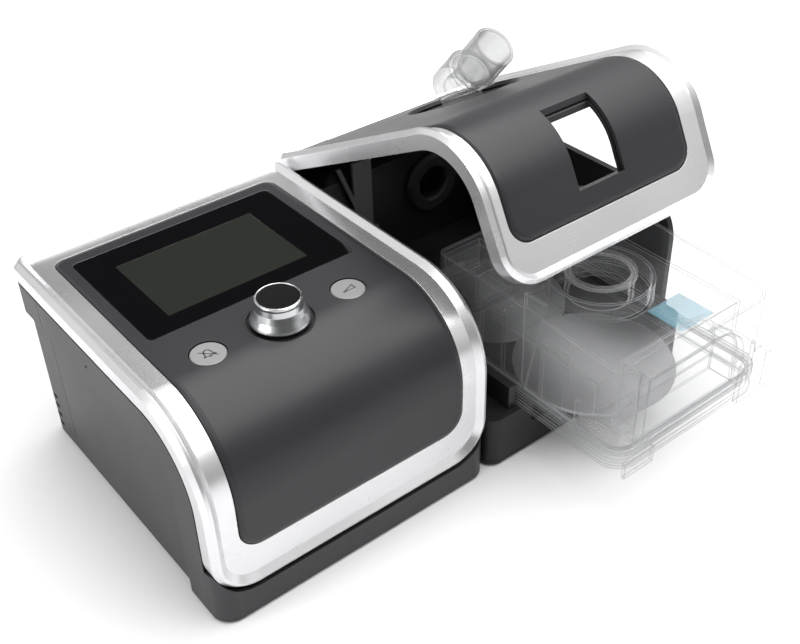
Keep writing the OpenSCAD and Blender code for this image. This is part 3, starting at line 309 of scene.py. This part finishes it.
def surfaced(name, colour, edge_colour, roughness, relief, metallic=0.0, coat=0.0, shine=0.5, cover=1.0,
             **values):
    """A material whose colour, roughness and relief come from the moulded_surface group, which takes
    the further values by name."""
    made, shader = new_material(name)
    tree = made.node_tree
    group = tree.nodes.new("ShaderNodeGroup")
    group.node_tree = moulded_surface
    group.inputs["Colour"].default_value = (*colour, 1)
    group.inputs["Edge Colour"].default_value = (*edge_colour, 1)
    group.inputs["Roughness"].default_value = roughness
    for key, value in values.items():
        group.inputs[key.replace("_", " ").title()].default_value = value
    bump = tree.nodes.new("ShaderNodeBump")
    bump.inputs["Strength"].default_value = relief
    bump.inputs["Distance"].default_value = GRAIN_DEPTH
    tree.links.new(rounded_normal(tree, ROUND_EDGE), bump.inputs["Normal"])
    tree.links.new(group.outputs["Height"], bump.inputs["Height"])
    tree.links.new(group.outputs["Colour"], shader.inputs["Base Color"])
    tree.links.new(group.outputs["Roughness"], shader.inputs["Roughness"])
    tree.links.new(bump.outputs["Normal"], shader.inputs["Normal"])
    shader.inputs["Metallic"].default_value = metallic
    shader.inputs["Coat Weight"].default_value = coat
    shader.inputs["Specular IOR Level"].default_value = shine
    shader.inputs["Alpha"].default_value = cover
    return made


def finish_nodes(material, *names):
    """Gives CAD nodes their material."""
    for name in names:
        slots = node[name].data.materials
        slots.clear()
        slots.append(material)


# painted shade darkens the casing's seams and steps at full strength
casing = surfaced("charcoal_casing", (0.024, 0.024, 0.0265), (0.048, 0.048, 0.053), roughness=0.44,
                  relief=0.4, shine=0.4, cloudiness=0.08, grain_scale=1800, roughness_spread=0.04,
                  edge_wear=0.4, dust=0.01, seam_shade=1.0)
finish_nodes(casing, "base_tray", "left_side_cover", "right_side_cover", "rear_cover", "filter_cover")

# --- Screws and feet ------------------------------------------------------------------------------
# Self-tapping screws with bright metal heads come up through the floors of both units. The feet
# are black rubber discs stuck under them.
metal = surfaced("turned_aluminium", (0.62, 0.63, 0.64), (0.8, 0.8, 0.8), roughness=0.24, relief=0.12,
                 metallic=1.0, cloudiness=0.05, grain_scale=3000, roughness_spread=0.05, edge_wear=0.3,
                 dust=0.0)
finish_nodes(metal, "unit_screws", "humidifier_screws")
rubber = surfaced("black_rubber", (0.02, 0.02, 0.021), (0.05, 0.05, 0.05), roughness=0.6, relief=0.5,
                  cloudiness=0.15, grain_scale=1200, roughness_spread=0.05, edge_wear=0.2, dust=0.05)
finish_nodes(rubber, "unit_feet", "humidifier_feet")

# --- Blower and air inlet -------------------------------------------------------------------------
# A centrifugal blower: white moulded housing, cap and impeller over a wound copper stator. It draws
# air through a pad of grey foam and sends it to the humidifier through a black moulded coupling.
white = surfaced("white_moulding", (0.7, 0.7, 0.69), (0.78, 0.78, 0.77), roughness=0.4, relief=0.2,
                 cloudiness=0.04, grain_scale=1500, roughness_spread=0.04, edge_wear=0.2, dust=0.0)
finish_nodes(white, "blower_housing", "blower_cap", "impeller")
copper = surfaced("copper_winding", (0.55, 0.3, 0.16), (0.7, 0.45, 0.3), roughness=0.35, relief=0.5,
                  metallic=1.0, cloudiness=0.1, grain_scale=900, roughness_spread=0.05, edge_wear=0.2,
                  dust=0.0)
finish_nodes(copper, "motor_stator")
foam = surfaced("grey_foam", (0.3, 0.3, 0.3), (0.35, 0.35, 0.35), roughness=0.9, relief=1.0,
                cloudiness=0.2, grain_scale=900, roughness_spread=0.05, edge_wear=0.1, dust=0.0)
finish_nodes(foam, "inlet_filter")
black = surfaced("black_moulding", (0.012, 0.012, 0.013), (0.03, 0.03, 0.03), roughness=0.35, relief=0.3,
                 cloudiness=0.1, grain_scale=1500, roughness_spread=0.05, edge_wear=0.3, dust=0.02)
finish_nodes(black, "air_coupling")

# --- Board, sockets and carrier -------------------------------------------------------------------
# A grey moulded carrier lies under the panel and the trim. A green circuit board with the key
# switches hangs from it on posts, and power socket and metal card reader sit at the rear cover.
board = surfaced("circuit_board", (0.02, 0.1, 0.045), (0.1, 0.2, 0.1), roughness=0.35, relief=0.3,
                 cloudiness=0.2, grain_scale=300, roughness_spread=0.05, edge_wear=0.3, dust=0.0)
finish_nodes(board, "main_board")
finish_nodes(black, "dc_socket", "button_switches")
finish_nodes(metal, "card_reader")
grey = surfaced("grey_moulding", (0.16, 0.16, 0.165), (0.24, 0.24, 0.24), roughness=0.42, relief=0.3,
                cloudiness=0.06, grain_scale=1600, roughness_spread=0.04, edge_wear=0.2, dust=0.0)
finish_nodes(grey, "top_chassis")

# --- Control panel and trim -----------------------------------------------------------------------
# The panel is a satin charcoal moulding bent over the top and the front. The frame round it is
# moulded too and sprayed with fine aluminium-flake lacquer, which rolls smoothly over each edge.
# painted shade darkens the panel's seams and steps
charcoal = surfaced("charcoal_moulding", (0.02, 0.02, 0.0225), (0.037, 0.037, 0.04), roughness=0.38,
                    relief=0.25, shine=0.36, cloudiness=0.06, grain_scale=2600, roughness_spread=0.03,
                    edge_wear=0.3, dust=0.008, seam_shade=0.8)
finish_nodes(charcoal, "control_panel")
silver = surfaced("silver_lacquer", (0.76, 0.76, 0.77), (0.6, 0.6, 0.61), roughness=0.28, relief=0.02,
                  metallic=0.82, coat=0.15, cloudiness=0.03, grain_scale=4200, roughness_spread=0.03,
                  edge_wear=0.25, dust=0.0)
finish_nodes(silver, "main_trim")

# --- Display --------------------------------------------------------------------------------------
# A flat pane of nearly black glass lies flush in the panel, over a black display module. The
# display is off, and its area shows through the glass as a faint grey-green rectangle.
DISPLAY_SHEET = 0.03 * MM     # half of it stands above the glass
window = surfaced("display_glass", (0.003, 0.003, 0.0035), (0.02, 0.02, 0.02), roughness=0.06, relief=0.0,
                  shine=0.42, cloudiness=0.05, grain_scale=200, roughness_spread=0.01, edge_wear=0.2,
                  dust=0.0)
finish_nodes(window, "display_window")
finish_nodes(black, "lcd_module")
lcd = surfaced("display_area", (0.018, 0.0195, 0.0165), (0.018, 0.0195, 0.0165), roughness=0.09,
               relief=0.0, shine=0.42, cloudiness=0.04, grain_scale=200, roughness_spread=0.01,
               edge_wear=0.0, dust=0.0)
low, high = (Vector(end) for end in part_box("lcd_module"))
glass_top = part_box("display_window")[1][2]
middle = Vector(((low.x + high.x) / 2, (low.y + high.y) / 2, glass_top))
size = Matrix.Diagonal((high.x - low.x, high.y - low.y, DISPLAY_SHEET, 1))
bm = bmesh.new()
bmesh.ops.create_cube(bm, size=1.0, matrix=Matrix.Translation(middle) @ size)
display_area = link_mesh("display_area", bm, lcd)
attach(display_area, "main_unit")

# --- Knob and encoder -----------------------------------------------------------------------------
# The push-and-turn knob has a turned metal skirt and a soft black cap. Its spindle turns in a
# bronze collar, which slides in the metal body of the encoder on the board.
finish_nodes(metal, "knob_skirt", "encoder_spindle", "encoder_body")
finish_nodes(copper, "encoder_plunger")
cap_black = surfaced("black_soft_cap", (0.003, 0.003, 0.0035), (0.01, 0.01, 0.01), roughness=0.5,
                     relief=0.4, shine=0.1, cloudiness=0.05, grain_scale=2200, roughness_spread=0.03,
                     edge_wear=0.2, dust=0.0)
finish_nodes(cap_black, "knob_cap")

# --- Round keys -----------------------------------------------------------------------------------
# Pale satin caps. The left one carries a crossed bell for silence and the right one a rising wedge
# for the slow pressure start, both as thin dark printed lines.
KEY_LINE = 0.6 * MM
KEY_INK = 0.02 * MM
BELL = [(-3.1, -1.9), (-2.1, -0.9), (-1.9, 1.1), (-1.2, 2.5), (0.0, 3.0),
        (1.2, 2.5), (1.9, 1.1), (2.1, -0.9), (3.1, -1.9), (-3.1, -1.9)]
BELL_CROSS = [(-3.5, 3.1), (3.4, -3.4)]
CLAPPER = [(-0.5, -2.7), (0.5, -2.7)]
WEDGE = [(-3.6, -1.3), (3.4, -1.3), (3.4, 1.9), (-3.6, -1.3)]
key_paint = surfaced("key_paint", (0.25, 0.25, 0.253), (0.38, 0.38, 0.38), roughness=0.42, relief=0.15,
                     metallic=0.3, cloudiness=0.03, grain_scale=3000, roughness_spread=0.03, edge_wear=0.3,
                     dust=0.0)
finish_nodes(key_paint, "mute_button", "ramp_button")
ink = surfaced("dark_ink", (0.03, 0.03, 0.032), (0.03, 0.03, 0.032), roughness=0.5, relief=0.1,
               cloudiness=0.05, grain_scale=2000, roughness_spread=0.02, edge_wear=0.0, dust=0.0)


def printed_lines(name, key, body, lines):
    """Thin raised lines on top of a key, from points in millimetres about its middle."""
    low, high = (Vector(end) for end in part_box(key))
    middle = Vector(((low.x + high.x) / 2, (low.y + high.y) / 2, high.z + KEY_INK / 2))
    bm = bmesh.new()
    for line in lines:
        for a, b in zip(line, line[1:]):
            start = Vector((*a, 0)) * MM
            end = Vector((*b, 0)) * MM
            along = end - start
            place = Matrix.Translation(middle + (start + end) / 2)
            turn = Matrix.Rotation(math.atan2(along.y, along.x), 4, "Z")
            size = Matrix.Diagonal((along.length + KEY_LINE, KEY_LINE, KEY_INK, 1))
            bmesh.ops.create_cube(bm, size=1.0, matrix=place @ turn @ size)
    printed = link_mesh(name, bm, ink)
    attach(printed, body)


printed_lines("bell_sign", "mute_button", "mute_key", [BELL, BELL_CROSS, CLAPPER])
printed_lines("wedge_sign", "ramp_button", "ramp_key", [WEDGE])

# --- Humidifier base ------------------------------------------------------------------------------
# The body and its bottom are one charcoal moulding each, given a darker and duller copy of the
# casing's finish as painted shade, where the main unit keeps the light from the left off them. In
# the bay are black slide rails, the black air duct with its rubber seal ring, and a grey post with
# a thin blade behind the chamber.
# painted shade: the casing's charcoal made darker and less shiny for the humidifier base
painted_shade_casing = surfaced("painted_shade_casing", (0.011, 0.011, 0.0125), (0.03, 0.03, 0.033), roughness=0.46,
                       relief=0.4, shine=0.3, cloudiness=0.08, grain_scale=1800, roughness_spread=0.04,
                       edge_wear=0.3, dust=0.008)
finish_nodes(painted_shade_casing, "humidifier_base", "humidifier_bottom")
finish_nodes(black, "slide_rails", "air_duct")
finish_nodes(rubber, "seal_ring")
finish_nodes(grey, "bay_bracket")

# --- Heater ---------------------------------------------------------------------------------------
# A round steel plate lies in the bay's deck, over a heater block that stands on four posts. It
# warms the pressed steel plate in the bottom of the chamber.
plate = surfaced("pressed_steel", (0.3, 0.3, 0.305), (0.4, 0.4, 0.4), roughness=0.3, relief=0.1,
                 metallic=1.0, cloudiness=0.1, grain_scale=1200, roughness_spread=0.06, edge_wear=0.3,
                 dust=0.0)
finish_nodes(plate, "heater_plate", "heater_block", "chamber_heat_plate")

# --- Lid ------------------------------------------------------------------------------------------
# Trim and panel are made and finished as on the main unit, over a black liner with the grey air
# duct and its rubber seal. A grey ring holds the outlet's elbow, and the lid turns on two metal pins.
finish_nodes(silver, "lid_trim")
finish_nodes(charcoal, "lid_panel")
finish_nodes(black, "lid_liner")
finish_nodes(grey, "lid_duct", "elbow_ring")
finish_nodes(rubber, "lid_seal")
finish_nodes(metal, "hinge_pins")

# --- Water chamber and outlet ---------------------------------------------------------------------
# Chamber and outlet are polished clear plastic, with milky silicone seals and a pale blue patch.
# Walls seen square on let nearly everything through. Walls at a slant and the rounded edges are
# drawn as lines in a mostly opaque grey diffuse colour, a painted stand-in for the light they bend
# and reflect, over a real clear share and the edges' bent normals.
CLEAR_IOR = 1.4
CLEAR_SHARE = 0.35            # the rest is the grey diffuse colour that paints edges and slanted walls in place of their reflection
CLEAR_EDGE_HAZE = 0.3         # added to the roughness on edges
HALF_AND_HALF = 0.5           # Layer Weight's blend at which Facing is 1 minus the cosine


def clear_edge_group():
    """Node group: how close a point is to an edge, and the normal of the rounded edge there."""
    group = bpy.data.node_groups.new("clear_edge", "ShaderNodeTree")
    radius = group.interface.new_socket("Radius", in_out="INPUT", socket_type="NodeSocketFloat")
    radius.default_value = EDGE_RADIUS
    group.interface.new_socket("Edge", in_out="OUTPUT", socket_type="NodeSocketFloat")
    group.interface.new_socket("Normal", in_out="OUTPUT", socket_type="NodeSocketVector")
    given = group.nodes.new("NodeGroupInput").outputs
    result = group.nodes.new("NodeGroupOutput").inputs
    rounded = rounded_normal(group, given["Radius"])
    group.links.new(edge_mask(group, rounded), result["Edge"])
    group.links.new(rounded, result["Normal"])
    return group


clear_edge = clear_edge_group()


def clear_material(name, colour, edge_colour, edge_radius, roughness, square_on, slant_begins):
    """A clear moulding whose edges and slanted walls are painted in grey diffuse colours, a painted
    stand-in for the light they bend and reflect. square_on is how much a wall seen square on still
    covers, and slant_begins is 1 minus the cosine from which it covers more."""
    made, shader = new_material(name)
    tree = made.node_tree
    shader.inputs["IOR"].default_value = CLEAR_IOR
    shader.inputs["Transmission Weight"].default_value = CLEAR_SHARE
    group = tree.nodes.new("ShaderNodeGroup")
    group.node_tree = clear_edge
    group.inputs["Radius"].default_value = edge_radius
    edge = group.outputs["Edge"]
    slant = tree.nodes.new("ShaderNodeLayerWeight")
    slant.inputs["Blend"].default_value = HALF_AND_HALF
    cover = ramp(tree, slant.outputs["Facing"], slant_begins, 1.0, square_on, 1.0)
    haze = ramp(tree, edge, 0.0, 1.0, roughness, roughness + CLEAR_EDGE_HAZE)
    tree.links.new(blended(tree, edge, (*colour, 1), (*edge_colour, 1)), shader.inputs["Base Color"])
    tree.links.new(haze, shader.inputs["Roughness"])
    tree.links.new(worked_out(tree, "MAXIMUM", cover, edge), shader.inputs["Alpha"])
    tree.links.new(group.outputs["Normal"], shader.inputs["Normal"])
    return made


# the grey colours paint the edge lines and slanted walls in place of their refraction and reflection
clear = clear_material("clear_plastic", (0.5, 0.51, 0.52), (0.3, 0.305, 0.31), edge_radius=1.0 * MM,
                       roughness=0.02, square_on=0.05, slant_begins=0.66)
finish_nodes(clear, "chamber_tub", "chamber_cover", "chamber_baffle", "chamber_handle", "chamber_latch")
tube = clear_material("clear_tube", (0.36, 0.365, 0.37), (0.12, 0.122, 0.125), edge_radius=1.1 * MM,
                      roughness=0.05, square_on=0.3, slant_begins=0.4)
finish_nodes(tube, "outlet_elbow")
silicone = clear_material("silicone", (0.35, 0.355, 0.36), (0.25, 0.25, 0.255), edge_radius=0.6 * MM,
                          roughness=0.3, square_on=0.25, slant_begins=0.5)
finish_nodes(silicone, "chamber_gasket", "chamber_port_ring")
patch = surfaced("pale_patch", (0.16, 0.33, 0.4), (0.16, 0.33, 0.4), roughness=0.35, relief=0.1, cover=0.35,
                 cloudiness=0.1, grain_scale=500, roughness_spread=0.05, edge_wear=0.1, dust=0.0)
finish_nodes(patch, "chamber_patch")
